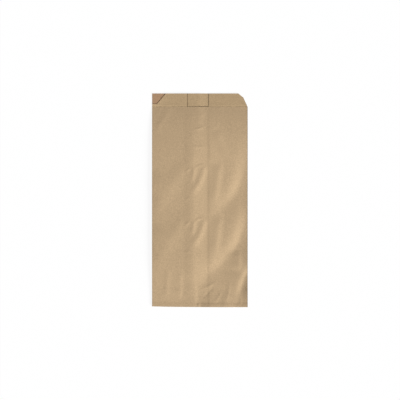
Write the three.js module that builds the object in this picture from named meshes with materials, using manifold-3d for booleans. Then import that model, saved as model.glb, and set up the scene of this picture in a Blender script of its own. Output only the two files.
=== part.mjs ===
// Greaseproof paper bag, lying flat on its back. One sheet of kraft paper is folded into a tube with
// a gusset at each side, pasted along a lap seam in its back panel, and closed by a flap of the front
// panel that turns under the lower end. At the mouth the back panel and gussets stand above the front.
// Millimetres. +X runs across the bag, +Y from the closed end to the mouth, +Z up from the table.
import * as THREE from "three";
import { mergeVertices } from "three/addons/utils/BufferGeometryUtils.js";
import Module from "manifold-3d";

const wasm = await Module();
wasm.setup();

// The sheet and the folded bag
const BAG_WIDTH = 150; // between the outer side folds
const BAG_LENGTH = 335; // from the closed end to the top of the back panel
const PAPER = 0.1; // thickness of the sheet
const CREASE_GAP = 0.4; // air that a fold's spring holds open between two plies
const CREASE_SPACING = 33.3; // between the inner creases of the two gussets
const CREASE_SHIFT = -2.8; // middle of that space, from the middle of the bag
const PASTE_BITE = 0.02; // how far pasted plies press into each other

// The stepped cut at the mouth
const MOUTH_LIP = 21; // back panel and gussets above the front panel's edge
const LEFT_NOTCH_STEP = 4.4; // floor of the left gusset's corner notch, above the front panel's edge
const LEFT_NOTCH_FLOOR = 7.8; // width of that notch at its floor
const LEFT_NOTCH_WIDTH = 21.8; // and at the top
const RIGHT_CORNER_WIDTH = 14.5; // corner cut through every ply at the right
const RIGHT_KNEE_INSET = 6.7;
const RIGHT_KNEE_DEPTH = 6.5;

// The lap seam in the back panel and the flap under the closed end
const SEAM_EDGE = -3; // x of the inner ply's free edge, which comes from the left
const SEAM_WIDTH = 20;
const SEAM_RAMP = 3; // where the inner ply comes back down to the table
const FLAP_LENGTH = 22;
const FLAP_CORNER = 12;
const FLAP_RAMP = 15; // where the back panel comes down off the flap

// How the face of the bag lies
const FACE_LOFT = 1.5; // rise of the front panel above its creases, over the left gusset
const RIGHT_LOFT = 0.2; // the same over the right gusset
const MOUTH_LOFT = 0.3; // and at the mouth's edge
const SIDE_EASE = 32;
const CLOSED_END_EASE = 32;
const MOUTH_EASE = 60;
const HOLLOW_CLEARANCE = 0.45; // left above the back panel, where the front sinks between the gussets
const HOLLOW_START = 2.5; // how far inside the left crease it begins to sink
const HOLLOW_LOW_LINE = 5; // its lowest line, inside the right crease
const HOLLOW_RISE = 12; // how far outside the right crease it is up again
const HOLLOW_FADE = 14;

// Slack creases that run down from the right side fold: x in from that fold, y up from the closed end
const SWELLS = [
  { inset: [10, 38], height: [242, 166], bow: 9, width: 8, rise: 0.9 },
  { inset: [11, 55], height: [160, 52], bow: 9, width: 8, rise: 1.0 },
  { inset: [4, 13], height: [56, 20], bow: 1, width: 4.5, rise: 0.8 },
];

const COLUMN = 6; // mesh pitch across the plies that are not flat
const ROW = 12; // mesh pitch along the bag
const FOLD_SEGMENTS = 1; // half of the flats round a fold
const PAST = 2; // how far a cutter reaches beyond what it cuts
const WELD = 0.001; // points closer than this are one
const PAPER_BROWN = 0xbca381;

const HALF_PAPER = PAPER / 2;
const LEFT = -BAG_WIDTH / 2;
const RIGHT = BAG_WIDTH / 2;
const TOP = BAG_LENGTH / 2;
const CLOSED_END = -BAG_LENGTH / 2;
const MOUTH = TOP - MOUTH_LIP;
const LEFT_CREASE = CREASE_SHIFT - CREASE_SPACING / 2;
const RIGHT_CREASE = CREASE_SHIFT + CREASE_SPACING / 2;
const SEAM_END = SEAM_EDGE - SEAM_WIDTH;

// Heights of the middle of each ply at its creases, from the back panel up
const PLY_PITCH = PAPER + CREASE_GAP;
const FOLD_RADIUS = PLY_PITCH / 2;
const BACK_Z = HALF_PAPER;
const LOWER_GUSSET_Z = BACK_Z + PLY_PITCH;
const UPPER_GUSSET_Z = LOWER_GUSSET_Z + PLY_PITCH;
const FRONT_Z = UPPER_GUSSET_Z + PLY_PITCH;
const PASTED_STEP = PAPER - PASTE_BITE; // a pasted ply above the one that it is pasted to

// The flap lifts the plies above it, and the front panel's end fold reaches round all of them
const END_FOLD_TOP = FRONT_Z + PASTED_STEP + HALF_PAPER + PASTE_BITE;
const END_FOLD_Y = CLOSED_END + END_FOLD_TOP / 2;
const FLAP_EDGE = CLOSED_END + FLAP_LENGTH;
const END_LAP = ROW / 3; // straight start of the end fold, round the front panel's end
const FLAT_END = END_FOLD_Y + ROW; // the plies lie flat up to here

const CUT_TOP = FRONT_Z + 2 * FACE_LOFT + PAST; // a cutter this high clears the whole face

// Angles at the lowest and highest points of a fold
const DOWN = -Math.PI / 2;
const UP = Math.PI / 2;

const { smoothstep, lerp, clamp } = THREE.MathUtils;
const ramp = (value, from, to) => clamp((value - from) / (to - from), 0, 1);

// Rise of one swell at (x, y): a soft ridge along a bowed line
function swellRise(swell, x, y) {
  const t = ramp(y, CLOSED_END + swell.height[0], CLOSED_END + swell.height[1]);
  const ridge = RIGHT - lerp(swell.inset[0], swell.inset[1], t) + swell.bow * Math.sin(Math.PI * t);
  const ends = Math.sin(Math.PI * t);
  return swell.rise * ends * Math.exp(-(((x - ridge) / swell.width) ** 2));
}

// Rise of the front panel at (x, y) above the level of its creases
function frontRise(x, y) {
  const sides = smoothstep(Math.min(x - LEFT, RIGHT - x), 0, SIDE_EASE);
  const closedEnd = smoothstep(y, FLAT_END, FLAT_END + CLOSED_END_EASE);
  const faceLoft = lerp(FACE_LOFT, RIGHT_LOFT, smoothstep(x, LEFT_CREASE, RIGHT_CREASE));
  const loft = lerp(MOUTH_LOFT, faceLoft, smoothstep(MOUTH - y, 0, MOUTH_EASE));
  const swells = SWELLS.reduce((sum, swell) => sum + swellRise(swell, x, y), 0);
  const full = (loft + swells) * sides * closedEnd;

  const lowLine = RIGHT_CREASE - HOLLOW_LOW_LINE;
  const intoHollow = smoothstep(x, LEFT_CREASE + HOLLOW_START, lowLine);
  const outOfHollow = smoothstep(x, lowLine, RIGHT_CREASE + HOLLOW_RISE);
  const fade = smoothstep(y, FLAT_END, FLAT_END + HOLLOW_FADE);
  const floor = 2 * PAPER + HOLLOW_CLEARANCE + HALF_PAPER - FRONT_Z;
  return lerp(full, floor, intoHollow * (1 - outOfHollow) * fade);
}

// Share of the front panel's rise that a height in the flat stack takes: the back panel and the lower
// gusset plies none, the upper gusset plies half
function riseShare(z) {
  const toUpperGusset = ramp(z, LOWER_GUSSET_Z + HALF_PAPER, UPPER_GUSSET_Z - HALF_PAPER);
  const toFront = ramp(z, UPPER_GUSSET_Z + HALF_PAPER, FRONT_Z - HALF_PAPER);
  return (toUpperGusset + toFront) / 2;
}

// Lets a flat stack settle as the bag lies, with the face lofted and the closed end up on its flap
function settle(geometry) {
  const points = geometry.getAttribute("position");
  for (let i = 0; i < points.count; i += 1) {
    const [x, y, z] = [points.getX(i), points.getY(i), points.getZ(i)];
    const onFlap = 1 - smoothstep(y, FLAP_EDGE, FLAP_EDGE + FLAP_RAMP);
    points.setZ(i, z + riseShare(z) * frontRise(x, y) + PASTED_STEP * onFlap);
  }
  return geometry;
}

// A closed geometry as a solid that can be joined and cut
function solid(geometry) {
  geometry.deleteAttribute("normal");
  geometry.deleteAttribute("uv");
  const merged = mergeVertices(geometry, WELD);
  return new wasm.Manifold(
    new wasm.Mesh({
      numProp: 3,
      vertProperties: merged.getAttribute("position").array,
      triVerts: new Uint32Array(merged.index.array),
    }),
  );
}

// Extrudes a section drawn in X and Z along the bag, from one y to another
function alongBag(section, fromY, toY) {
  const geometry = new THREE.ExtrudeGeometry(section, {
    depth: toY - fromY,
    steps: Math.max(1, Math.round((toY - fromY) / ROW)),
    curveSegments: FOLD_SEGMENTS,
    bevelEnabled: false,
  });
  return geometry.rotateX(Math.PI / 2).translate(0, toY, 0);
}

// Extrudes an outline drawn in X and Y upwards, from one z to another
function upright(outline, fromZ, toZ) {
  const depth = toZ - fromZ;
  return new THREE.ExtrudeGeometry(outline, { depth, bevelEnabled: false }).translate(0, 0, fromZ);
}

// Draws a level run in short steps, so that it can settle
function levelRun(path, fromX, toX, z) {
  const steps = Math.max(1, Math.round(Math.abs(toX - fromX) / COLUMN));
  for (let i = 1; i <= steps; i += 1) path.lineTo(lerp(fromX, toX, i / steps), z);
}

// Draws the lap seam in the back panel: inside, the second ply's way up, its top and its free edge;
// underneath, the groove beside the first ply's edge
function lapSeam(path, outside) {
  const z = BACK_Z - outside;
  path.lineTo(SEAM_END - SEAM_RAMP, z);
  path.lineTo(SEAM_END, z + PASTED_STEP);
  if (outside < 0) {
    path.lineTo(SEAM_EDGE, z + PASTED_STEP);
    path.lineTo(SEAM_EDGE, z);
  } else {
    path.lineTo(SEAM_END, z);
  }
}

// Draws the folded section once round, a constant distance outside the middle of the paper
function foldedSection(outside) {
  const path = new THREE.Shape();
  const turn = FOLD_RADIUS + outside; // outer side folds
  const tuck = FOLD_RADIUS - outside; // inner gusset creases
  const leftTurn = LEFT + HALF_PAPER + FOLD_RADIUS;
  const rightTurn = RIGHT - HALF_PAPER - FOLD_RADIUS;
  const leftTuck = LEFT_CREASE - HALF_PAPER - FOLD_RADIUS;
  const rightTuck = RIGHT_CREASE + HALF_PAPER + FOLD_RADIUS;

  path.moveTo(leftTurn, BACK_Z - outside);
  lapSeam(path, outside);
  path.lineTo(rightTurn, BACK_Z - outside);
  path.absarc(rightTurn, BACK_Z + FOLD_RADIUS, turn, DOWN, UP, false);
  path.lineTo(rightTuck, LOWER_GUSSET_Z + outside);
  path.absarc(rightTuck, LOWER_GUSSET_Z + FOLD_RADIUS, tuck, DOWN, UP, true);
  levelRun(path, rightTuck, rightTurn, UPPER_GUSSET_Z - outside);
  path.absarc(rightTurn, UPPER_GUSSET_Z + FOLD_RADIUS, turn, DOWN, UP, false);
  levelRun(path, rightTurn, leftTurn, FRONT_Z + outside);
  path.absarc(leftTurn, UPPER_GUSSET_Z + FOLD_RADIUS, turn, UP, DOWN, false);
  levelRun(path, leftTurn, leftTuck, UPPER_GUSSET_Z - outside);
  path.absarc(leftTuck, LOWER_GUSSET_Z + FOLD_RADIUS, tuck, UP, DOWN, true);
  path.lineTo(leftTurn, LOWER_GUSSET_Z + outside);
  path.absarc(leftTurn, BACK_Z + FOLD_RADIUS, turn, UP, DOWN, false);
  return path;
}

// The gusseted tube, open at both ends: its outer form trimmed to length, less its inner form
function gussetedTube() {
  const [outside, inside] = [HALF_PAPER, -HALF_PAPER].map((offset) =>
    solid(settle(alongBag(foldedSection(offset), END_FOLD_Y - ROW / 2, TOP + ROW / 2))),
  );
  const trim = new THREE.Shape();
  trim.moveTo(LEFT - PAST, END_FOLD_Y);
  trim.lineTo(RIGHT + PAST, END_FOLD_Y);
  trim.lineTo(RIGHT + PAST, TOP);
  trim.lineTo(LEFT - PAST, TOP);
  return outside.intersect(solid(upright(trim, -PAST, CUT_TOP))).subtract(inside);
}

// What the step at the mouth removes: the front panel above its edge, with the part that sinks between
// the gussets
function mouthStep() {
  const overGussets = UPPER_GUSSET_Z + FOLD_RADIUS - HALF_PAPER;
  const overBack = (BACK_Z + LOWER_GUSSET_Z) / 2;
  const section = new THREE.Shape();
  section.moveTo(LEFT - PAST, overGussets);
  levelRun(section, LEFT - PAST, LEFT_CREASE + CREASE_GAP, overGussets);
  section.lineTo(LEFT_CREASE + CREASE_GAP, overBack);
  section.lineTo(RIGHT_CREASE - CREASE_GAP, overBack);
  section.lineTo(RIGHT_CREASE - CREASE_GAP, overGussets);
  levelRun(section, RIGHT_CREASE - CREASE_GAP, RIGHT + PAST, overGussets);
  section.lineTo(RIGHT + PAST, FRONT_Z + PAST);
  section.lineTo(LEFT - PAST, FRONT_Z + PAST);
  return solid(settle(alongBag(section, MOUTH, TOP + PAST)));
}

// The corner notch in the upper ply of the left gusset
function leftNotch() {
  const outline = new THREE.Shape();
  outline.moveTo(LEFT - PAST, MOUTH + LEFT_NOTCH_STEP);
  outline.lineTo(LEFT + LEFT_NOTCH_FLOOR, MOUTH + LEFT_NOTCH_STEP);
  outline.lineTo(LEFT + LEFT_NOTCH_WIDTH, TOP);
  outline.lineTo(LEFT + LEFT_NOTCH_WIDTH, TOP + PAST);
  outline.lineTo(LEFT - PAST, TOP + PAST);
  return solid(settle(upright(outline, (LOWER_GUSSET_Z + UPPER_GUSSET_Z) / 2, FRONT_Z + PAST)));
}

// The corner cut through all the plies at the right of the mouth
function rightCorner() {
  const outline = new THREE.Shape();
  outline.moveTo(RIGHT, MOUTH);
  outline.lineTo(RIGHT + PAST, MOUTH);
  outline.lineTo(RIGHT + PAST, TOP + PAST);
  outline.lineTo(RIGHT - RIGHT_CORNER_WIDTH, TOP + PAST);
  outline.lineTo(RIGHT - RIGHT_CORNER_WIDTH, TOP);
  outline.lineTo(RIGHT - RIGHT_KNEE_INSET, TOP - RIGHT_KNEE_DEPTH);
  return solid(upright(outline, -PAST, CUT_TOP));
}

// The front panel's end fold and the flap that it ends in, pasted under the back panel
function closingFlap() {
  const insideTop = END_FOLD_TOP - PAPER - 2 * PASTE_BITE;
  const profile = new THREE.Shape();
  profile.moveTo(END_FOLD_Y + END_LAP, END_FOLD_TOP);
  profile.lineTo(END_FOLD_Y, END_FOLD_TOP);
  profile.absarc(END_FOLD_Y, END_FOLD_TOP / 2, END_FOLD_TOP / 2, UP, DOWN, false);
  profile.lineTo(FLAP_EDGE, 0);
  profile.lineTo(FLAP_EDGE, PAPER);
  profile.lineTo(END_FOLD_Y, PAPER);
  profile.absarc(END_FOLD_Y, (insideTop + PAPER) / 2, (insideTop - PAPER) / 2, DOWN, UP, true);
  profile.lineTo(END_FOLD_Y + END_LAP, insideTop);

  const span = BAG_WIDTH - 2 * (HALF_PAPER + FOLD_RADIUS);
  const strip = new THREE.ExtrudeGeometry(profile, {
    depth: span,
    curveSegments: 2 * FOLD_SEGMENTS,
    bevelEnabled: false,
  });
  const acrossBag = new THREE.Matrix4().makeBasis(
    new THREE.Vector3(0, 1, 0),
    new THREE.Vector3(0, 0, 1),
    new THREE.Vector3(1, 0, 0),
  );
  strip.applyMatrix4(acrossBag).translate(-span / 2, 0, 0);
  return [-1, 1].reduce((flap, side) => flap.subtract(flapCorner(side, span / 2)), solid(strip));
}

// What is trimmed off one free corner of the flap
function flapCorner(side, halfSpan) {
  const corner = new THREE.Shape();
  corner.moveTo(side * (halfSpan + PAST), FLAP_EDGE - FLAP_CORNER - PAST);
  corner.lineTo(side * (halfSpan + PAST), FLAP_EDGE + PAST);
  corner.lineTo(side * (halfSpan - FLAP_CORNER - PAST), FLAP_EDGE + PAST);
  return solid(upright(corner, -PAST, PAPER + PASTE_BITE));
}

function paperBag() {
  const bag = gussetedTube()
    .subtract(mouthStep())
    .subtract(leftNotch())
    .subtract(rightCorner())
    .add(closingFlap());
  const { vertProperties, triVerts } = bag.getMesh();
  const geometry = new THREE.BufferGeometry();
  geometry.setAttribute("position", new THREE.BufferAttribute(vertProperties, 3));
  geometry.setIndex(new THREE.BufferAttribute(triVerts, 1));
  geometry.computeVertexNormals();
  const kraft = new THREE.MeshStandardMaterial({ color: PAPER_BROWN, roughness: 0.72, metalness: 0 });
  const mesh = new THREE.Mesh(geometry, kraft);
  mesh.name = "paper_bag";
  return mesh;
}

const model = new THREE.Group();
model.add(paperBag());

export default model;
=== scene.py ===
"""Greaseproof kraft paper bag, folded flat and lying on its back in a plain studio.

The bag is one folded sheet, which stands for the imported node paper_bag. Metres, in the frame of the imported
model: +X across the bag, +Y from the closed end to the mouth, +Z up from the table.
"""
import logging
import math
from collections.abc import Callable
from dataclasses import dataclass, replace
from enum import Enum

import bmesh
import bpy
import numpy as np
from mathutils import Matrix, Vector


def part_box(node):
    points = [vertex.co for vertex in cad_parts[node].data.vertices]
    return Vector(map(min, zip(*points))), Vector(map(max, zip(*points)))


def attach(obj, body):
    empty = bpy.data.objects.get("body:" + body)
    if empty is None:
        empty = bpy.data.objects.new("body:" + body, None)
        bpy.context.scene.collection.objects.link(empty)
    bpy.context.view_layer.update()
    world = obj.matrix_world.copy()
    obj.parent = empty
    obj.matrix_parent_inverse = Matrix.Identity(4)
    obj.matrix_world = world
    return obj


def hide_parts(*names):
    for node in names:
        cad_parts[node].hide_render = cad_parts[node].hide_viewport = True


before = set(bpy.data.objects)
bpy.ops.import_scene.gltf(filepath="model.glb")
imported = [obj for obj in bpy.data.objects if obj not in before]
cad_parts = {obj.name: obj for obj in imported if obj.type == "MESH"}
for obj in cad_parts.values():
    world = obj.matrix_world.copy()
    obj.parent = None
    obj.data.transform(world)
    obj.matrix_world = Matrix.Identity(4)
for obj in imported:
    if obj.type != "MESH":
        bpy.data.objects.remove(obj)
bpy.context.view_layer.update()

BAG_LOW, BAG_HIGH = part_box("paper_bag")

MM = 0.001
TINY = 1e-6  # lengths closer than this are equal
MOST_CUTS = 100  # the subdivide operator's limit
CURVE_POINTS = 33  # points along a wrinkle's curve
OVERRUN = 4.0  # how far a wrinkle's end segments reach on, in segments
BLUNT = 0.1  # share of a wrinkle's length by which its ends ease out beyond its curve
PATTERN_DROP = 83.5  # millimetres between the wrinkles that come twice
NOISE_MIDDLE = 0.5  # the value that a noise varies about

# The Mix node's sockets for colours, by number because their names repeat
MIX_SHARE = 0
MIX_FIRST = 6
MIX_SECOND = 7
MIX_RESULT = 2

Point = tuple[float, float]
Colour = tuple[float, float, float]
Colour4 = tuple[float, float, float, float]
Test = Callable[[Vector, Vector], bool]

WHITE: Colour4 = (1.0, 1.0, 1.0, 1.0)

log = logging.getLogger("paper_bag")


class Side(Enum):
    """The two long sides of the bag, by the sign of their x."""

    LEFT = -1
    RIGHT = 1


class Element(Enum):
    """Kinds of mesh element that are selected by place."""

    EDGE = "EDGE"
    FACE = "FACE"


class Mark(Enum):
    """Marks on the sheet's points, which the paper's finish reads."""

    INSIDE = "inside"
    # Painted shade in the pocket under the left notch
    POCKET_SHADE = "pocket"
    # Painted shade along the folds
    CREASE = "crease"


class Blend(Enum):
    """Ways of mixing two colours."""

    MIX = "MIX"
    MULTIPLY = "MULTIPLY"


def ease(value: np.ndarray, start: float, end: float) -> np.ndarray:
    """Goes smoothly from 0 at start to 1 at end.

    Args:
        value: Where to evaluate it.
        start: The last value that gives 0.
        end: The first value that gives 1.

    Returns:
        The eased share at each value.
    """
    share = np.clip((value - start) / (end - start), 0.0, 1.0)
    return share * share * (3.0 - 2.0 * share)


def soft_ramp(value: np.ndarray, corner: float) -> np.ndarray:
    """Gives 0 below zero and the value itself above, with a soft corner.

    Args:
        value: Where to evaluate it.
        corner: How far the corner reaches.

    Returns:
        The ramp at each value.
    """
    return corner * np.logaddexp(0.0, value / corner)


def between(ends: Point, share: np.ndarray) -> np.ndarray:
    """Goes evenly from the first of two values to the second.

    Args:
        ends: The two values.
        share: How much of the second is taken, 0 to 1.

    Returns:
        The value at each share.
    """
    first, second = ends
    return first + (second - first) * share


class Signal:
    """A shader socket that can stand in a Python expression."""

    def __init__(self, shader: "Shader", socket: bpy.types.NodeSocket) -> None:
        """Wraps one output socket of a shader's node."""
        self.shader = shader
        self.socket = socket

    def __add__(self, other: "Signal | float") -> "Signal":
        """Adds a value."""
        return self.shader.math("ADD", self, other)

    def __sub__(self, other: "Signal | float") -> "Signal":
        """Takes a value away."""
        return self.shader.math("SUBTRACT", self, other)

    def __rsub__(self, other: float) -> "Signal":
        """Is taken away from a value."""
        return self.shader.math("SUBTRACT", other, self)

    def __mul__(self, other: "Signal | float") -> "Signal":
        """Multiplies by a value."""
        return self.shader.math("MULTIPLY", self, other)

    __radd__ = __add__
    __rmul__ = __mul__


class Shader:
    """One node tree, built by code."""

    def __init__(self, tree: bpy.types.NodeTree) -> None:
        """Empties the tree."""
        self.tree = tree
        tree.nodes.clear()

    def node(self, kind: str, settings: dict | None = None, sockets: dict | None = None) -> bpy.types.Node:
        """Adds one node.

        Args:
            kind: The node's type.
            settings: Its properties, which are set first.
            sockets: A value or a signal for each input that is named or numbered.

        Returns:
            The new node.
        """
        node = self.tree.nodes.new(kind)
        for name, value in (settings or {}).items():
            setattr(node, name, value)
        for name, value in (sockets or {}).items():
            if isinstance(value, Signal):
                self.tree.links.new(value.socket, node.inputs[name])
            else:
                node.inputs[name].default_value = value
        return node

    def signal(
        self, kind: str, output: str | int, settings: dict | None = None, sockets: dict | None = None
    ) -> Signal:
        """Adds one node and gives one of its outputs.

        Args:
            kind: The node's type.
            output: The output's name or number.
            settings: The node's properties.
            sockets: Its inputs.

        Returns:
            The output as a signal.
        """
        return Signal(self, self.node(kind, settings, sockets).outputs[output])

    def math(self, operation: str, first: Signal | float, second: Signal | float) -> Signal:
        """Adds a Math node on two values."""
        return self.signal("ShaderNodeMath", 0, {"operation": operation}, {0: first, 1: second})

    def mix(
        self, share: Signal, first: Colour4 | Signal, second: Colour4 | Signal, blend: Blend = Blend.MIX
    ) -> Signal:
        """Mixes two colours.

        Args:
            share: How much of the second is taken.
            first: A colour or a colour signal.
            second: Another.
            blend: How they are mixed.

        Returns:
            The mixed colour.
        """
        settings = {"data_type": "RGBA", "blend_type": blend.value, "clamp_factor": True}
        sockets = {MIX_SHARE: share, MIX_FIRST: first, MIX_SECOND: second}
        return self.signal("ShaderNodeMix", MIX_RESULT, settings, sockets)

    def ramp(self, value: Signal, low: float, high: float) -> Signal:
        """Maps a value from the span low to high onto 0 to 1, smoothly."""
        settings = {"interpolation_type": "SMOOTHSTEP"}
        return self.signal("ShaderNodeMapRange", 0, settings, {0: value, 1: low, 2: high})


@dataclass(frozen=True)
class Grain:
    """One layer of noise in the paper."""

    scale: Point  # cells to a metre, across and along the bag
    octaves: float  # how many finer octaves it holds
    share: float = 0.0  # of the mottle


@dataclass(frozen=True)
class KraftPaper:
    """Smooth unbleached kraft paper, nearly matt, faintly mottled and finely flecked, with shade painted along
    its folds and in the left notch's pocket.
    """

    colour: Colour = (0.503, 0.366, 0.22)
    clouds: Grain = Grain((110.0, 110.0), 3.0, share=0.06)
    streaks: Grain = Grain((700.0, 160.0), 2.0, share=0.12)
    fibres: Grain = Grain((1500.0, 750.0), 2.0, share=0.22)
    specks: Grain = Grain((760.0, 760.0), 1.0, share=0.6)
    flecks: Grain = Grain((900.0, 900.0), 1.0)
    octave_strength: float = 0.6  # of each finer octave, against the one before
    mottle_depth: float = 0.135  # share by which the mottle darkens and lightens
    mottle_span: Point = (0.3, 0.7)  # where the mottle is darkest and lightest
    fleck_depth: float = 0.12  # share by which flecks are darker than the paper
    fleck_span: Point = (0.66, 0.8)  # where a fleck begins and where it is full
    fleck_cover: float = 0.8  # how much of the paper's own mottle a full fleck covers
    roughness: float = 0.95
    roughness_change: float = 0.08
    specular: float = 0.06
    bump_height: float = 0.03 * MM
    bump_strength: float = 0.4
    bump_shares: Point = (0.6, 0.4)  # of the fibres and of the streaks
    inside_tint: Colour = (0.886, 0.88, 0.85)  # of the sheet's inner side
    pocket_shade_tint: Colour = (0.822, 0.72, 0.71)  # painted shade of the gusset ply that the left notch shows: darker and redder where the ply above shades it
    # Painted shade: nearly black, it darkens the paper along the folds, where their gaps lie in shade
    crease_shade_tint: Colour = (0.08, 0.05, 0.04)

    def tint(self, factor: float) -> Colour4:
        """Returns the paper's colour made lighter or darker by a factor."""
        return (*(channel * factor for channel in self.colour), 1.0)

    def marked(self, shader: Shader, colour: Signal, mark: Mark, tint: Colour) -> Signal:
        """Tints the paper where it has a mark.

        Args:
            shader: The material's tree.
            colour: The paper's colour so far.
            mark: Which mark.
            tint: What each channel is multiplied by at a full mark.

        Returns:
            The tinted colour.
        """
        share = shader.signal("ShaderNodeAttribute", "Fac", {"attribute_name": mark.value})
        return shader.mix(share, colour, (*tint, 1.0), Blend.MULTIPLY)

    def noise(self, shader: Shader, grain: Grain) -> Signal:
        """Adds one layer of noise over the piece.

        Args:
            shader: The material's tree.
            grain: Which layer.

        Returns:
            The noise, from 0 to 1.
        """
        place = shader.signal("ShaderNodeTexCoord", "Object")
        stretch = (*grain.scale, max(grain.scale))
        place = shader.signal("ShaderNodeMapping", 0, None, {"Vector": place, "Scale": stretch})
        sockets = {"Vector": place, "Scale": 1.0, "Detail": grain.octaves, "Roughness": self.octave_strength}
        return shader.signal("ShaderNodeTexNoise", 0, None, sockets)

    def mottled(self, shader: Shader, streaks: Signal, fibres: Signal) -> Signal:
        """Builds the paper's own colour, with its mottle and its flecks.

        Args:
            shader: The material's tree.
            streaks: The layer of streaks.
            fibres: The layer of fibres.

        Returns:
            The colour.
        """
        mottle = self.noise(shader, self.clouds) * self.clouds.share
        mottle += streaks * self.streaks.share
        mottle += fibres * self.fibres.share
        mottle += self.noise(shader, self.specks) * self.specks.share
        lightness = shader.ramp(mottle, *self.mottle_span)
        body = shader.mix(lightness, self.tint(1 - self.mottle_depth), self.tint(1 + self.mottle_depth))
        fleck = shader.ramp(self.noise(shader, self.flecks), *self.fleck_span)
        return shader.mix(fleck * self.fleck_cover, body, self.tint(1 - self.fleck_depth))

    def material(self) -> bpy.types.Material:
        """Builds the paper's material.

        Returns:
            The new material.
        """
        material = bpy.data.materials.new("kraft_paper")
        material.use_nodes = True
        shader = Shader(material.node_tree)
        streaks = self.noise(shader, self.streaks)
        fibres = self.noise(shader, self.fibres)
        colour = self.mottled(shader, streaks, fibres)
        colour = self.marked(shader, colour, Mark.INSIDE, self.inside_tint)
        # Painted shade in the left notch's pocket
        colour = self.marked(shader, colour, Mark.POCKET_SHADE, self.pocket_shade_tint)
        # Painted shade along the folds
        colour = self.marked(shader, colour, Mark.CREASE, self.crease_shade_tint)
        of_fibres, of_streaks = self.bump_shares
        bump = {
            "Strength": self.bump_strength,
            "Distance": self.bump_height,
            "Height": fibres * of_fibres + streaks * of_streaks,
        }
        finish = {
            "Base Color": colour,
            "Roughness": self.roughness + self.roughness_change * (streaks - NOISE_MIDDLE),
            "Specular IOR Level": self.specular,
            "Normal": shader.signal("ShaderNodeBump", 0, None, bump),
        }
        surface = shader.signal("ShaderNodeBsdfPrincipled", 0, None, finish)
        shader.node("ShaderNodeOutputMaterial", None, {"Surface": surface})
        return material


@dataclass(frozen=True)
class Wrinkle:
    """A soft trough or ridge in the front panel, along a curve that bends towards its inner points.

    Millimetres: x from the middle of the bag, y up from its closed end. It spreads to its left and right
    hand, going from its first point to its last.
    """

    path: tuple[Point, ...]
    rise: float
    left: float
    right: float
    fade: Point = (0.3, 0.3)  # shares of its length over which its first and last end ease out

    def lowered(self) -> "Wrinkle":
        """Returns the same wrinkle one pattern length further down the bag."""
        return replace(self, path=tuple((x, y - PATTERN_DROP) for x, y in self.path))

    def curve(self) -> np.ndarray:
        """Draws the wrinkle's middle line.

        Returns:
            Points along it.
        """
        along = np.linspace(0.0, 1.0, CURVE_POINTS)[:, None]
        points = [np.array(point) for point in self.path]
        while len(points) > 1:
            points = [first + (second - first) * along for first, second in zip(points, points[1:])]
        return points[0]

    def height(self, x: np.ndarray, y: np.ndarray) -> np.ndarray:
        """Gives the wrinkle's rise above the panel that it lies in.

        Args:
            x: Millimetres from the middle of the bag.
            y: Millimetres up from the closed end.

        Returns:
            The rise in millimetres at each place.
        """
        line = self.curve()
        segments = len(line) - 1
        nearest = np.full(x.shape, np.inf)
        hand = np.zeros(x.shape)
        along = np.zeros(x.shape)
        for index in range(segments):
            step = line[index + 1] - line[index]
            from_x, from_y = x - line[index][0], y - line[index][1]
            share = (from_x * step[0] + from_y * step[1]) / (step @ step)
            least = -OVERRUN if index == 0 else 0.0
            most = 1.0 + OVERRUN if index == segments - 1 else 1.0
            share = np.clip(share, least, most)
            off_x, off_y = from_x - share * step[0], from_y - share * step[1]
            distance = np.hypot(off_x, off_y)
            closer = distance < nearest
            nearest = np.where(closer, distance, nearest)
            hand = np.where(closer, step[0] * off_y - step[1] * off_x, hand)
            along = np.where(closer, (index + share) / segments, along)
        spread = np.where(hand > 0, self.left, self.right)
        first_fade, last_fade = self.fade
        ends = ease(along, -BLUNT, first_fade) * (1 - ease(along, 1 - last_fade, 1 + BLUNT))
        return self.rise * ends * np.exp(-((nearest / spread) ** 2))


# Wrinkles that come twice, one pattern length apart
TWIN_WRINKLES = (
    Wrinkle(((7, 223), (5.5, 203), (-10, 180)), rise=0.4, left=5, right=5.5, fade=(0.2, 0.2)),
    Wrinkle(((-8.5, 219), (-9.5, 210), (-12.5, 197)), rise=0.2, left=2.6, right=3.5),
    Wrinkle(((-7, 218), (0, 223), (7, 222)), rise=0.17, left=2.2, right=1.7),
    Wrinkle(((-15, 231), (-44, 199), (-72, 143)), rise=0.28, left=11, right=12),
    Wrinkle(((31, 231), (28, 196), (22, 163)), rise=0.33, left=5, right=8),
    Wrinkle(((13, 224), (22, 225), (33, 222)), rise=-0.14, left=6, right=9),
    Wrinkle(((-24, 212), (-20, 213), (-15, 218)), rise=0.14, left=1.6, right=1.6),
    Wrinkle(((-23, 169), (-19, 168), (-15, 172)), rise=0.11, left=1.4, right=1.4),
    Wrinkle(((-80, 184), (-66, 190), (-52, 206)), rise=0.4, left=14, right=20),
)

# Slack troughs that run down from the right side fold
SLACK_TROUGHS = (
    Wrinkle(
        ((75, 262), (72, 212), (70, 172), (48, 167), (26, 138)),
        rise=-1.6, left=27, right=12.5, fade=(0.5, 0.5),
    ),
    Wrinkle(
        ((76, 182), (73, 118), (74, 73), (22, 74), (-13, 8)),
        rise=-1.8, left=30, right=12.5, fade=(0.35, 0.7),
    ),
    Wrinkle(((83, 64), (66.5, 46), (62, 8)), rise=-0.8, left=9, right=5.5, fade=(0.35, 0.35)),
)

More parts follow.
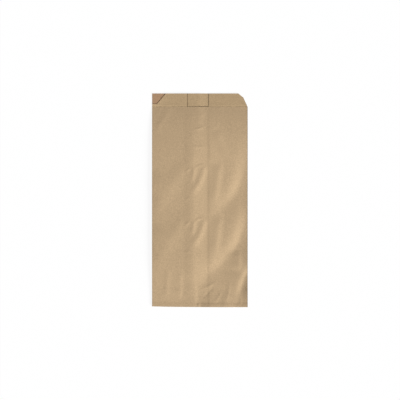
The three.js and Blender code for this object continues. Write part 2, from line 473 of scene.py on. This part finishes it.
# Soft ridges and short creases that come once
SINGLE_WRINKLES = (
    Wrinkle(((-47, 312), (-55, 297), (-71, 271)), rise=0.1, left=4.5, right=5),
    Wrinkle(((-49.5, 61), (-51.5, 39), (-53.5, 13)), rise=0.16, left=4, right=4),
    Wrinkle(((-29, 60), (-31, 36), (-32, 12)), rise=0.19, left=3, right=9),
    Wrinkle(((25, 275), (32, 262), (41, 231)), rise=0.25, left=8, right=6),
    Wrinkle(((-8, 279), (-1, 278), (7, 283)), rise=0.17, left=1.8, right=1.6),
    Wrinkle(((-12, 249), (-3, 253), (10, 249)), rise=0.13, left=2.4, right=1.8),
    Wrinkle(((1, 299), (6, 302), (9, 308)), rise=0.08, left=1.6, right=1.6),
    Wrinkle(((-60, 322), (-62, 300), (-66, 275)), rise=0.12, left=30, right=10),
    Wrinkle(((60, 88), (61, 72), (60, 56)), rise=0.42, left=4.5, right=18),
)

# The crumpled patch above the closed end
END_CRUMPLES = (
    Wrinkle(((2, 28), (13, 31), (25, 40)), rise=0.14, left=2.0, right=2.0),
    Wrinkle(((5, 15), (14, 23), (21, 32)), rise=-0.15, left=2.0, right=2.2),
    Wrinkle(((22, 7), (30, 15), (35, 26)), rise=0.13, left=2.4, right=2.0),
    Wrinkle(((41, 7), (46, 23), (46, 36)), rise=0.15, left=2.6, right=2.2),
    Wrinkle(((60, 24), (66, 14), (62, 1)), rise=0.1, left=2.2, right=1.8),
    Wrinkle(((38.5, 24), (37.5, 12), (38, 0)), rise=0.1, left=12, right=2.2),
    Wrinkle(((-9, 40), (-9, 20), (-8, -2)), rise=0.26, left=3.6, right=12),
    Wrinkle(((1, 0), (29, 0), (54, 2)), rise=0.62, left=18, right=18),
    Wrinkle(((41, 60), (36, 44), (33, 26)), rise=0.35, left=26, right=15),
    Wrinkle(((-2, 6), (-2, 3), (-2, -2)), rise=0.28, left=1.5, right=2.0),
    Wrinkle(((79, 34), (79, 16), (79, -4)), rise=0.4, left=8, right=8),
)


@dataclass(frozen=True)
class Relief:
    """How high the front panel lies over the back panel.

    Millimetres: x from the middle of the bag, y up from its closed end.
    """

    half_width: float  # of the bag
    mouth: float  # y of the front panel's upper edge
    left_crease: float  # x of the left gusset's inner crease
    right_crease: float
    stack: Point = (2.8, 3.3)  # height of the four plies at the left and right side folds
    end_stack: float = 1.2  # their height at the closed end
    end_slope: float = 80.0  # over which they come down to it
    mouth_stack: Point = (0.33, 0.5)  # at the mouth's left and right, pressed together
    mouth_ease: float = 85.0  # over which they open below the mouth
    mouth_curl: float = 0.12  # of the mouth's edge at the right side fold, none at the left
    curl_reach: float = 2.5
    right_bias: int = 4  # how late, going right, the mouth changes from left to right
    left_rise: float = 0.35  # in from the left side fold
    left_run: float = 16.0
    puff: float = 0.24  # over the spring of the left gusset's crease
    puff_reach: Point = (8.5, 5.5)  # outside and inside that crease
    sag: float = 1.3  # between the two gussets
    sag_start: float = -10.5
    sag_end: float = 11.5
    sag_corners: Point = (0.8, 1.8)  # softness at its start and end
    sag_mouth_ease: float = 105.0  # below the mouth
    step: float = 0.13  # up onto the right gusset's crease
    step_run: float = 1.2
    right_fall: float = 0.6  # from that crease towards the right side fold
    right_fall_end: float = 35.0  # in from that fold
    end_loft: float = 0.45  # share of the loft that is left at the closed end
    end_ease: float = 60.0
    strip: float = 6.0  # length of the strip that the end fold lifts
    strip_steps: Point = (0.08, 0.15)  # up onto it, at its left and right part
    strip_step_run: float = 2.2
    strip_lifts: Point = (0.05, 0.17)  # further up at the end fold
    strip_right: Point = (-1.0, 12.0)  # x from which and to which it goes over into its right part
    least: float = 0.3  # the plies never press closer than this
    softness: float = 0.05

    def wrinkles(self) -> list[Wrinkle]:
        """Returns every wrinkle of the front panel."""
        twins = [*TWIN_WRINKLES, *(wrinkle.lowered() for wrinkle in TWIN_WRINKLES)]
        return [*SLACK_TROUGHS, *twins, *SINGLE_WRINKLES, *END_CRUMPLES]

    def opened(self, y: np.ndarray) -> np.ndarray:
        """Goes from 0 at the mouth, where the plies are pressed together, to 1 where they lie loose."""
        below_mouth = np.clip((self.mouth - y) / self.mouth_ease, 0.0, 1.0)
        return 1 - (1 - below_mouth) ** 2

    def stacked(self, x: np.ndarray, y: np.ndarray) -> np.ndarray:
        """Gives the height of the loose plies, which is less at the mouth and at the closed end.

        Args:
            x: Places across the bag.
            y: Places along it.

        Returns:
            The height at each place.
        """
        share = (x + self.half_width) / (2 * self.half_width)
        at_right = share**self.right_bias
        full = between(self.stack, share)
        pressed = between(self.mouth_stack, at_right)
        lowered = (full - self.end_stack) * (1 - ease(y, 0.0, self.end_slope))
        curl = self.mouth_curl * at_right * np.exp(-np.abs(self.mouth - y) / self.curl_reach)
        return pressed + (full - pressed) * self.opened(y) - lowered + curl

    def loft(self, x: np.ndarray, y: np.ndarray) -> np.ndarray:
        """Gives the panel's swell over each gusset and its sag between them.

        Args:
            x: Places across the bag.
            y: Places along it.

        Returns:
            The rise at each place.
        """
        opened = self.opened(y)
        above_end = ease(y, 0.0, self.end_ease)
        rise = self.left_rise * (1 - np.exp(-(x + self.half_width) / self.left_run))
        outside, inside = self.puff_reach
        puff = self.puff * ease(x, self.left_crease - outside, self.left_crease + inside)
        first_corner, last_corner = self.sag_corners
        fallen = soft_ramp(x - self.sag_start, first_corner) - soft_ramp(x - self.sag_end, last_corner)
        sag = -self.sag * fallen / (self.sag_end - self.sag_start)
        sag *= ease(self.mouth - y, 0.0, self.sag_mouth_ease) * above_end
        step = self.step * ease(x, self.right_crease - self.step_run, self.right_crease + self.step_run)
        fall = -self.right_fall * ease(x, self.right_crease, self.half_width - self.right_fall_end)
        flattened = between((self.end_loft, 1.0), above_end)
        return (sag + (rise + puff + fall) * opened) * flattened + step * opened

    def end_strip(self, x: np.ndarray, y: np.ndarray) -> np.ndarray:
        """Gives the rise of the strip along the closed end, which the end fold lifts.

        Args:
            x: Places across the bag.
            y: Places along it.

        Returns:
            The rise at each place.
        """
        edge = self.strip_step_run / 2
        right_part = ease(x, *self.strip_right)
        step = between(self.strip_steps, right_part) * (1 - ease(y, self.strip - edge, self.strip + edge))
        lift = between(self.strip_lifts, right_part) * (1 - ease(y, 0.0, self.strip))
        return step + lift

    def height(self, x: np.ndarray, y: np.ndarray) -> np.ndarray:
        """Gives the front panel's height over the back panel.

        Args:
            x: Places across the bag.
            y: Places along it.

        Returns:
            The height at each place.
        """
        total = self.stacked(x, y) + self.loft(x, y) + self.end_strip(x, y)
        total += sum(wrinkle.height(x, y) for wrinkle in self.wrinkles())
        return self.least + soft_ramp(total - self.least, self.softness)


def select(kind: Element, test: Test) -> None:
    """Selects, of the mesh in edit mode, only the elements that pass a test.

    Args:
        kind: Edges or faces.
        test: Takes the mean of an element's corners and its extent along each axis.
    """
    bpy.ops.mesh.select_mode(type=kind.value)
    bpy.ops.mesh.select_all(action="DESELECT")
    mesh = bpy.context.object.data
    shape = bmesh.from_edit_mesh(mesh)
    for element in shape.edges if kind is Element.EDGE else shape.faces:
        places = [vertex.co for vertex in element.verts]
        middle = sum(places, Vector()) / len(places)
        extent = Vector(max(along) - min(along) for along in zip(*places))
        if test(middle, extent):
            element.select_set(True)
    shape.select_flush_mode()
    bmesh.update_edit_mesh(mesh)


def divide(axis: int, length: float, parts: int) -> None:
    """Divides every edge of one length along one axis into equal parts.

    Args:
        axis: 0 for edges along x, 1 for edges along y.
        length: The edges' length.
        parts: How many parts each becomes, an even number.
    """
    def matches(_: Vector, extent: Vector) -> bool:
        """Tells whether an edge has that length and runs along that axis."""
        return abs(extent[axis] - length) < TINY and extent.length < length + TINY

    if parts > MOST_CUTS:
        divide(axis, length, 2)
        divide(axis, length / 2, parts // 2)
        return
    select(Element.EDGE, matches)
    bpy.ops.mesh.subdivide(number_cuts=parts - 1)


def cut(place: Point, direction: Point, clear: bool = False) -> None:
    """Cuts the selection along an upright plane.

    Args:
        place: A point on the plane, in x and y.
        direction: Which way the plane faces, in x and y.
        clear: Whether what lies on the side that it faces is removed.
    """
    bpy.ops.mesh.bisect(
        plane_co=(*place, 0.0), plane_no=(*direction, 0.0), clear_outer=clear, threshold=TINY
    )


@dataclass
class PaperBag:
    """The bag's one sheet: front panel, two gussets, a back panel with a lap seam, and the end flap."""

    # The folded sheet
    width: float = BAG_HIGH.x - BAG_LOW.x
    length: float = BAG_HIGH.y - BAG_LOW.y
    paper: float = 0.1 * MM
    ply_pitch: float = 0.15 * MM  # between neighbouring plies, before the bag settles
    left_crease: float = -18.9 * MM
    right_crease: float = 13.5 * MM

    # The stepped cut at the mouth
    lip: float = 21.0 * MM  # back panel and gussets above the front panel's edge
    notch_step: float = 4.4 * MM  # floor of the left notch, above that edge
    notch_floor: float = 7.8 * MM  # its width there
    notch_width: float = 21.8 * MM  # and at the top
    corner_width: float = 14.5 * MM  # of the cut at the right
    knee_inset: float = 6.7 * MM
    knee_depth: float = 6.5 * MM

    # The lap seam in the back panel and the flap under the closed end
    seam_edge: float = -3.0 * MM  # x of the inner ply's free edge, which comes from the left
    seam_width: float = 20.0 * MM
    seam_ramp: float = 3.0 * MM  # where the inner ply comes up onto the outer one
    flap_length: float = 22.0 * MM
    flap_corner: float = 12.0 * MM
    flap_ramp: float = 15.0 * MM  # where the back panel comes down off the flap

    # How the closed end lies
    end_squash: float = 0.35  # share of its roundness that the end fold keeps
    end_drop: float = 0.6 * MM  # how far it reaches past its line at the right
    end_lift: float = 1.2 * MM  # how much less it does at its left corner
    lift_reach: float = 37.0 * MM  # from that corner
    drop_reach: float = 90.0 * MM  # from the closed end

    # How the mouth lies
    seam_puff: float = 0.55 * MM  # how far the stiff seam lifts the bag's middle there
    seam_ridge: float = -3.5 * MM  # x of the top of that rise
    seam_spread: Point = (40.0 * MM, 10.0 * MM)  # to its left and right
    seam_reach: float = 65.0 * MM  # how far below the mouth the rise ends
    lip_spring: float = 0.2 * MM  # how far the gussets spring up above the mouth
    lip_spring_ease: float = 8.0 * MM  # out from the inner creases
    notch_curl: float = 0.16 * MM
    notch_curl_reach: float = 2.5 * MM
    gusset_room: float = 0.5 * MM  # height that the gusset plies share, away from the side folds
    gusset_ease: float = 14.0 * MM

    # Painted shade along the folds, standing in for the shade in their gaps, with a little wear; from 0 to 1
    crease_shade: Point = (0.8, 0.25)  # of the left and right inner creases
    fold_shade: Point = (0.6, 0.45)  # of the right side fold and the end fold
    crease_margin: float = 1.5 * MM  # beside a bend, where its painted shade fades out

    # The mesh
    bend_steps: int = 3
    end_bend_steps: int = 6
    front_pitch: float = 1.35 * MM  # across the front panel
    row_pitch: float = 1.3 * MM  # along the bag
    gusset_pitch: float = 15.0 * MM
    back_pitch: float = 3.0 * MM  # between the two inner creases
    smooth_angle: float = math.radians(20)

    @property
    def closed_end(self) -> float:
        """y of the closed end."""
        return -self.length / 2

    @property
    def top(self) -> float:
        """y of the back panel's upper edge."""
        return self.length / 2

    @property
    def mouth(self) -> float:
        """y of the front panel's upper edge."""
        return self.top - self.lip

    @property
    def flap_edge(self) -> float:
        """y of the flap's free edge."""
        return self.closed_end + self.flap_length

    @property
    def lower_gusset(self) -> float:
        """Height of the gussets' lower plies in the flat stack, over the back panel."""
        return self.ply_pitch

    @property
    def upper_gusset(self) -> float:
        """Height of the gussets' upper plies in the flat stack."""
        return 2 * self.ply_pitch

    @property
    def front_level(self) -> float:
        """Height of the front panel in the flat stack."""
        return 3 * self.ply_pitch

    @property
    def side_turn(self) -> float:
        """x of the middle of the side folds' bends, on the right."""
        return self.width / 2 - self.paper / 2 - self.ply_pitch / 2

    def tuck(self, side: Side) -> float:
        """x of the middle of the bend at one gusset's inner crease."""
        crease = self.right_crease if side is Side.RIGHT else self.left_crease
        return crease + side.value * (self.paper + self.ply_pitch) / 2

    @property
    def end_radius(self) -> float:
        """Radius of the closed end's bend, round the whole stack."""
        return (self.front_level + self.paper) / 2

    @property
    def tube_end(self) -> float:
        """y where the closed end's bend starts."""
        return self.closed_end + self.paper / 2 + self.end_radius * self.end_squash

    @property
    def seam_end(self) -> float:
        """x of the outer seam ply's free edge."""
        return self.seam_edge - self.seam_width

    @property
    def flat_width(self) -> float:
        """Width of the sheet before it was folded."""
        gussets = 2 * (self.width + self.left_crease - self.right_crease)
        return 2 * self.width + gussets + self.seam_width

    @property
    def flat_length(self) -> float:
        """Length of the sheet before it was folded."""
        return self.length + self.flap_length

    @property
    def flat_area(self) -> float:
        """Area of the sheet, without the front panel's step and with the flap on that panel only."""
        return self.flat_width * self.length + (self.flap_length - self.lip) * self.width

    def build(self) -> bpy.types.Object:
        """Folds, trims and settles the sheet.

        Returns:
            The finished bag, at the origin and with its place in its mesh.
        """
        self.lay_front()
        for side in Side:
            self.fold_side(side)
        self.cut_mouth()
        self.fold_flap()
        self.divide_panels()
        self.cut_right_corner()
        self.cut_left_notch()
        self.cut_flap_corners()
        bpy.ops.mesh.select_all(action="SELECT")
        bpy.ops.mesh.remove_doubles(threshold=TINY)
        bpy.ops.mesh.normals_make_consistent(inside=False)
        bpy.ops.object.mode_set(mode="OBJECT")
        piece = bpy.context.object
        self.settle(piece)
        self.thicken(piece)
        return piece

    def dress(self, piece: bpy.types.Object, paper: KraftPaper) -> None:
        """Gives the bag its paper, hangs it under the root body and hides the imported bag.

        Args:
            piece: The finished bag.
            paper: Its finish.
        """
        piece.data.materials.append(paper.material())
        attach(piece, "root")
        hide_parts("paper_bag")
        self.flat_width
        self.flat_area

    def lay_front(self) -> None:
        """Lays the front panel at its height, as long as the whole tube, and stays in edit mode."""
        bpy.ops.object.select_all(action="DESELECT")
        bpy.ops.mesh.primitive_plane_add(size=1.0)
        bpy.context.object.name = "kraft_bag"
        bpy.ops.object.mode_set(mode="EDIT")
        size = (2 * self.side_turn, self.top - self.tube_end, 1.0)
        bpy.ops.transform.resize(value=size, center_override=(0.0, 0.0, 0.0))
        bpy.ops.transform.translate(value=(0.0, (self.top + self.tube_end) / 2, self.front_level))

    def fold_side(self, side: Side) -> None:
        """Folds one gusset and one part of the back panel under the front panel.

        Args:
            side: Which side of the bag.
        """
        way = side.value
        turn = way * self.side_turn
        tuck = self.tuck(side)
        back = self.paper if side is Side.LEFT else 0.0
        free_edge = self.seam_edge if side is Side.LEFT else self.seam_end

        select(Element.EDGE, lambda middle, extent: abs(middle.x - turn) < TINY and extent.x < TINY)
        self.bend(turn, self.front_level, self.upper_gusset, way)
        self.run(tuck - turn)
        self.bend(tuck, self.upper_gusset, self.lower_gusset, -way)
        self.run(turn - tuck)
        self.bend(turn, self.lower_gusset, back, way)
        self.run(tuck - turn)
        self.run(free_edge - tuck)

    def bend(self, x: float, top: float, bottom: float, bulge: int) -> None:
        """Turns the selected edge half round and under itself.

        Args:
            x: Where the bend starts and ends.
            top: Height that it starts from.
            bottom: Height that it ends at.
            bulge: 1 where it bulges towards +X, -1 towards -X.
        """
        bpy.ops.mesh.spin(
            steps=self.bend_steps,
            angle=-bulge * math.pi,
            center=(x, 0.0, (top + bottom) / 2),
            axis=(0.0, 1.0, 0.0),
        )

    def run(self, distance: float) -> None:
        """Draws the selected edge out into a level ply, with a narrow margin at each end.

        Args:
            distance: The ply's width, positive towards +X.
        """
        margin = math.copysign(self.crease_margin, distance)
        for part in (margin, distance - 2 * margin, margin):
            bpy.ops.mesh.extrude_region_move(TRANSFORM_OT_translate={"value": (part, 0.0, 0.0)})

    def cut_mouth(self) -> None:
        """Cuts the front panel off below the other plies."""
        bpy.ops.mesh.select_all(action="SELECT")
        cut((0.0, self.mouth), (0.0, 1.0))
        gussets = self.upper_gusset + TINY
        select(Element.FACE, lambda middle, _: middle.z > gussets and middle.y > self.mouth)
        bpy.ops.mesh.delete(type="FACE")

    def fold_flap(self) -> None:
        """Turns the front panel's end round the stack and out into the flap underneath."""
        def at_end(middle: Vector, extent: Vector) -> bool:
            """Tells whether an edge is the front panel's end."""
            in_front = middle.z > self.front_level - TINY and extent.x > self.width / 2
            return in_front and middle.y < self.tube_end + TINY

        select(Element.EDGE, at_end)
        bpy.ops.mesh.spin(
            steps=self.end_bend_steps,
            angle=-math.pi,
            center=(0.0, self.tube_end, self.front_level - self.end_radius),
            axis=(1.0, 0.0, 0.0),
        )
        flap = self.flap_edge - self.tube_end
        bpy.ops.mesh.extrude_region_move(TRANSFORM_OT_translate={"value": (0.0, flap, 0.0)})
        bpy.ops.mesh.select_all(action="SELECT")
        cut((0.0, self.tube_end + self.crease_margin), (0.0, 1.0))

    def divide_panels(self) -> None:
        """Divides the panels finely enough to wrinkle, and leaves the bends as they are."""
        margins = 2 * self.crease_margin
        left, right = self.tuck(Side.LEFT), self.tuck(Side.RIGHT)
        across = {
            2 * self.side_turn: self.front_pitch,
            self.side_turn - right - margins: self.gusset_pitch,
            self.side_turn + left - margins: self.gusset_pitch,
            right - self.seam_end - margins: self.back_pitch,
            self.seam_edge - left - margins: self.back_pitch,
        }
        end = self.tube_end + self.crease_margin
        along = (self.mouth - end, self.lip, self.flap_edge - end)
        for width, pitch in across.items():
            divide(0, width, 2 * round(width / pitch / 2))
        for length in along:
            divide(1, length, 2 * round(length / self.row_pitch / 2))

    def cut_right_corner(self) -> None:
        """Cuts the right corner of the mouth through every ply, in two straight cuts."""
        right = self.width / 2
        points = [
            Vector((right - self.corner_width, self.top)),
            Vector((right - self.knee_inset, self.top - self.knee_depth)),
            Vector((right, self.mouth)),
        ]
        for start, end in zip(points, points[1:]):
            bpy.ops.mesh.select_all(action="SELECT")
            way = end - start
            cut(tuple(start), (-way.y, way.x), clear=True)

    def notch_lines(self) -> tuple[Vector, Vector]:
        """Places the left notch.

        Returns:
            Its inner corner, and the way that its slanted edge faces.
        """
        left = -self.width / 2
        corner = Vector((left + self.notch_floor, self.mouth + self.notch_step))
        slope = Vector((left + self.notch_width, self.top)) - corner
        return corner, Vector((-slope.y, slope.x)).normalized()

    def cut_left_notch(self) -> None:
        """Cuts the corner notch in the upper ply of the left gusset."""
        corner, outward = self.notch_lines()
        reach = 2 * self.notch_width - self.width / 2  # x at twice the notch's width
        above_lower_ply = (self.lower_gusset + self.upper_gusset) / 2

        def near_notch(middle: Vector, _: Vector) -> bool:
            """Tells whether a face is of the upper gusset ply, about the notch."""
            return middle.x < reach and middle.y > self.mouth and middle.z > above_lower_ply

        def in_notch(middle: Vector, extent: Vector) -> bool:
            """Tells whether a face lies in the notch."""
            beyond_lines = middle.y > corner.y and (middle.xy - corner).dot(outward) > 0
            return beyond_lines and near_notch(middle, extent)

        for direction in ((0.0, 1.0), tuple(outward)):
            select(Element.FACE, near_notch)
            cut(tuple(corner), direction)
        select(Element.FACE, in_notch)
        bpy.ops.mesh.delete(type="FACE")

    def cut_flap_corners(self) -> None:
        """Trims the two free corners of the flap."""
        for side in Side:
            corner = (side.value * (self.side_turn - self.flap_corner), self.flap_edge)
            select(Element.FACE, lambda middle, extent: middle.z < TINY - self.paper and extent.z < TINY)
            cut(corner, (side.value, 1.0), clear=True)

    def settle(self, piece: bpy.types.Object) -> None:
        """Moves the flat stack's points to how the paper lies: lofted, creased and up on its flap.

        Args:
            piece: The folded sheet, still flat.
        """
        mesh = piece.data
        flat = np.empty(len(mesh.vertices) * 3)
        mesh.vertices.foreach_get("co", flat)
        x, y, z = flat.reshape(-1, 3).T
        in_lip = y > self.mouth + TINY
        lower_ply = in_lip & (np.abs(z - self.lower_gusset) < TINY)
        upper_ply = in_lip & (np.abs(z - self.upper_gusset) < TINY)

        height = self.stack_height(x, y, z) + self.seam_rise(x, y)
        height += np.where(lower_ply | upper_ply, self.lip_lift(x, y), 0.0)
        height += np.where(upper_ply & (x < 0), self.notch_lift(x, y), 0.0)
        on_flap = 1 - ease(y, self.flap_edge, self.flap_edge + self.flap_ramp)
        height += self.paper * on_flap + self.paper / 2

        # Painted shade along the folds, with a little wear
        self.mark(Mark.CREASE, mesh, self.painted_fold_shade(x, y, z))
        # Painted shade on the gusset ply that the left notch shows
        self.mark(Mark.POCKET_SHADE, mesh, lower_ply & (x < self.left_crease))
        moved = np.stack([x, self.settled_y(x, y), height], axis=1)
        mesh.vertices.foreach_set("co", moved.ravel())
        mesh.update()

    def relief(self) -> Relief:
        """Returns the relief of the front panel, for this bag's sizes."""
        return Relief(
            half_width=self.width / 2 / MM,
            mouth=(self.mouth - self.closed_end) / MM,
            left_crease=self.left_crease / MM,
            right_crease=self.right_crease / MM,
        )

    def stack_height(self, x: np.ndarray, y: np.ndarray, z: np.ndarray) -> np.ndarray:
        """Gives how high the plies come to lie over the back panel.

        Args:
            x: Places across the bag.
            y: Places along it.
            z: Heights in the flat stack.

        Returns:
            The height at each place.
        """
        front = self.relief().height(x / MM, (y - self.closed_end) / MM) * MM
        from_fold = self.side_turn - np.abs(x)
        gussets = np.minimum(front, self.gusset_room)
        gussets += (front - gussets) * (1 - ease(from_fold, 0.0, self.gusset_ease))
        below_front = z < self.upper_gusset + TINY
        share = np.maximum(z, 0.0) / self.front_level
        lofted = np.minimum(z, 0.0) + share * np.where(below_front, gussets, front)
        inner_seam_ply = np.abs(z - self.paper) < TINY
        seam = self.paper * ease(x, self.seam_end - self.seam_ramp, self.seam_end)
        return np.where(inner_seam_ply, seam, lofted)

    def settled_y(self, x: np.ndarray, y: np.ndarray) -> np.ndarray:
        """Gives where points come to lie along the bag, with the end fold pressed and its line slanted.

        Args:
            x: Places across the bag.
            y: Places along it, in the flat stack.

        Returns:
            The settled places along it.
        """
        drop = self.end_drop - self.end_lift * np.exp(-(x + self.width / 2) / self.lift_reach)
        drop *= 1 - ease(y - self.closed_end, 0.0, self.drop_reach)
        rounding = np.minimum(y - self.tube_end, 0.0)
        return y - rounding * (1 - self.end_squash) - drop

    def seam_rise(self, x: np.ndarray, y: np.ndarray) -> np.ndarray:
        """Gives how far the seam lifts all plies about the mouth.

        Args:
            x: Places across the bag.
            y: Places along it.

        Returns:
            The rise at each place.
        """
        left, right = self.seam_spread
        off = x - self.seam_ridge
        ridge = np.exp(-((off / np.where(off < 0, left, right)) ** 2))
        return self.seam_puff * ridge * ease(y, self.mouth - self.seam_reach, self.mouth)

    def lip_lift(self, x: np.ndarray, y: np.ndarray) -> np.ndarray:
        """Gives how far the gusset plies spring up above the front panel's edge.

        Args:
            x: Places across the bag.
            y: Places along it.

        Returns:
            The lift at each place.
        """
        off_crease = np.maximum(self.left_crease - x, x - self.right_crease)
        sprung = ease(y, self.mouth, self.mouth + self.row_pitch)
        return self.lip_spring * sprung * ease(off_crease, 0.0, self.lip_spring_ease)

    def notch_lift(self, x: np.ndarray, y: np.ndarray) -> np.ndarray:
        """Gives how far the upper gusset ply curls up at the edge of the left notch.

        Args:
            x: Places across the bag.
            y: Places along it.

        Returns:
            The lift at each place.
        """
        corner, outward = self.notch_lines()
        off_slope = -((x - corner.x) * outward.x + (y - corner.y) * outward.y)
        off_notch = np.maximum(np.maximum(corner.y - y, off_slope), 0.0)
        free = ease(y, self.mouth, corner.y)
        return self.notch_curl * free * np.exp(-off_notch / self.notch_curl_reach)

    def painted_fold_shade(self, x: np.ndarray, y: np.ndarray, z: np.ndarray) -> np.ndarray:
        """Gives how much shade is painted along the paper's folds, with a little wear.

        Args:
            x: Places across the bag.
            y: Places along it.
            z: Heights in the flat stack.

        Returns:
            0 for flat paper, up to 1 for a sharp crease.
        """
        gusset = (z > self.lower_gusset - TINY) & (z < self.upper_gusset + TINY)
        creases = gusset & (x > self.tuck(Side.LEFT) - TINY) & (x < self.tuck(Side.RIGHT) + TINY)
        creases &= y > self.tube_end - TINY
        left, right = self.crease_shade
        shade_depth = np.where(x < 0, left, right)
        right_fold = x > self.side_turn - TINY
        end_fold = (y < self.tube_end - TINY) & (z > TINY - self.paper)
        at_right, at_end = self.fold_shade
        return np.maximum.reduce([shade_depth * creases, at_right * right_fold, at_end * end_fold])

    def mark(self, mark: Mark, mesh: bpy.types.Mesh, strength: np.ndarray) -> None:
        """Keeps a mark on the mesh's points for the paper's finish.

        Args:
            mark: Which mark.
            mesh: The bag's mesh.
            strength: How strong it is at each point, 0 to 1.
        """
        attribute = mesh.attributes.new(mark.value, "FLOAT", "POINT")
        attribute.data.foreach_set("value", strength.astype(np.float32))

    def thicken(self, piece: bpy.types.Object) -> None:
        """Gives the sheet its thickness, marks its inner side and smooths its panels.

        Args:
            piece: The settled sheet.
        """
        points = len(piece.data.vertices)
        wall = piece.modifiers.new("paper", "SOLIDIFY")
        wall.thickness = self.paper
        wall.offset = 0.0
        bpy.ops.object.modifier_apply(modifier=wall.name)
        # The points now come twice, once for each side, and at the highest place the inner side is lower
        vertices = piece.data.vertices
        highest = max(range(points), key=lambda index: vertices[index].co.z)
        first_inside = vertices[highest].co.z < vertices[highest + points].co.z
        self.mark(Mark.INSIDE, piece.data, np.repeat([first_inside, not first_inside], points))
        bpy.ops.object.shade_smooth_by_angle(angle=self.smooth_angle)


@dataclass
class Studio:
    """The pale floor, the soft light and the camera that looks straight down."""

    view_width: float = 628.3 * MM  # what the square picture spans at the bag
    view_middle: Point = (0.25 * MM, 0.16 * MM)
    lens: float = 100.0  # millimetres, as the sensor's width
    sensor: float = 36.0
    floor_size: float = 8.0
    floor_gap: float = 0.05 * MM  # between the floor and the bag, so that no two faces coincide
    floor_glow: float = 0.9  # share of the floor's white that doesn't depend on the light
    ambient: float = 0.251
    ambient_colour: Colour = (1.0, 0.985, 1.02)
    key_strength: float = 9.46
    key_softness: float = math.radians(17)
    key_bearing: float = math.radians(-43)  # from +X
    key_height: float = math.radians(14)

    def seen(self, shader: Shader) -> Signal:
        """Tells rays that show a surface from rays that gather light.

        Args:
            shader: The tree of the floor or the room.

        Returns:
            1 for rays from the camera, from mirrors and through glass, and 0 for the others.
        """
        light_path = shader.node("ShaderNodeLightPath")
        rays = ("Is Camera Ray", "Is Glossy Ray", "Is Transmission Ray")
        camera, glossy, transmission = (Signal(shader, light_path.outputs[name]) for name in rays)
        return camera + glossy + transmission

    def floor(self) -> bpy.types.Object:
        """Builds the floor.

        Returns:
            The floor, marked as stage.
        """
        bpy.ops.object.select_all(action="DESELECT")
        bpy.ops.mesh.primitive_plane_add(size=self.floor_size, location=(0.0, 0.0, -self.floor_gap))
        floor = bpy.context.object
        floor.name = "floor"
        material = bpy.data.materials.new("pale_floor")
        material.use_nodes = True
        shader = Shader(material.node_tree)
        matt = shader.signal("ShaderNodeBsdfDiffuse", 0, None, {"Color": WHITE})
        glow = shader.signal("ShaderNodeEmission", 0, None, {"Color": WHITE, "Strength": 1.0})
        share = self.seen(shader) * self.floor_glow
        surface = shader.signal("ShaderNodeMixShader", 0, None, {0: share, 1: matt, 2: glow})
        shader.node("ShaderNodeOutputMaterial", None, {"Surface": surface})
        floor.data.materials.append(material)
        return floor

    def light(self) -> None:
        """Sets the even light of the room and the soft key lamp, low at the lower right."""
        world = bpy.data.worlds.new("room")
        bpy.context.scene.world = world
        world.use_nodes = True
        shader = Shader(world.node_tree)
        tone = (*self.ambient_colour, 1.0)
        room = shader.signal("ShaderNodeBackground", 0, None, {"Color": tone, "Strength": self.ambient})
        backdrop = shader.signal("ShaderNodeBackground", 0, None, {"Color": WHITE, "Strength": 1.0})
        surface = shader.signal("ShaderNodeMixShader", 0, None, {0: self.seen(shader), 1: room, 2: backdrop})
        shader.node("ShaderNodeOutputWorld", None, {"Surface": surface})

        level = math.cos(self.key_height)
        across, along = level * math.cos(self.key_bearing), level * math.sin(self.key_bearing)
        way = Vector((across, along, math.sin(self.key_height)))
        bpy.ops.object.light_add(type="SUN", location=way, rotation=way.to_track_quat("Z", "Y").to_euler())
        lamp = bpy.context.object
        lamp.name = "key_lamp"
        lamp.data.energy = self.key_strength
        lamp.data.angle = self.key_softness

    def camera(self) -> None:
        """Sets the camera above the bag, looking straight down."""
        distance = self.view_width * self.lens / self.sensor
        bpy.ops.object.camera_add(location=(*self.view_middle, distance), rotation=(0.0, 0.0, 0.0))
        camera = bpy.context.object
        camera.name = "camera"
        camera.data.lens = self.lens
        camera.data.sensor_width = self.sensor
        bpy.context.scene.camera = camera
        bpy.context.scene.view_settings.view_transform = "Standard"


def main() -> None:
    """Builds the bag and the studio, and reports each piece."""
    logging.basicConfig(level=logging.INFO, format="%(name)s: %(message)s")
    bag = PaperBag()
    piece = bag.build()
    bag.dress(piece, KraftPaper())
    log.info("%s has %d faces", piece.name, len(piece.data.polygons))

    studio = Studio()
    log.info("%s is laid", studio.floor().name)
    studio.light()
    studio.camera()


if __name__ == "__main__":
    main()
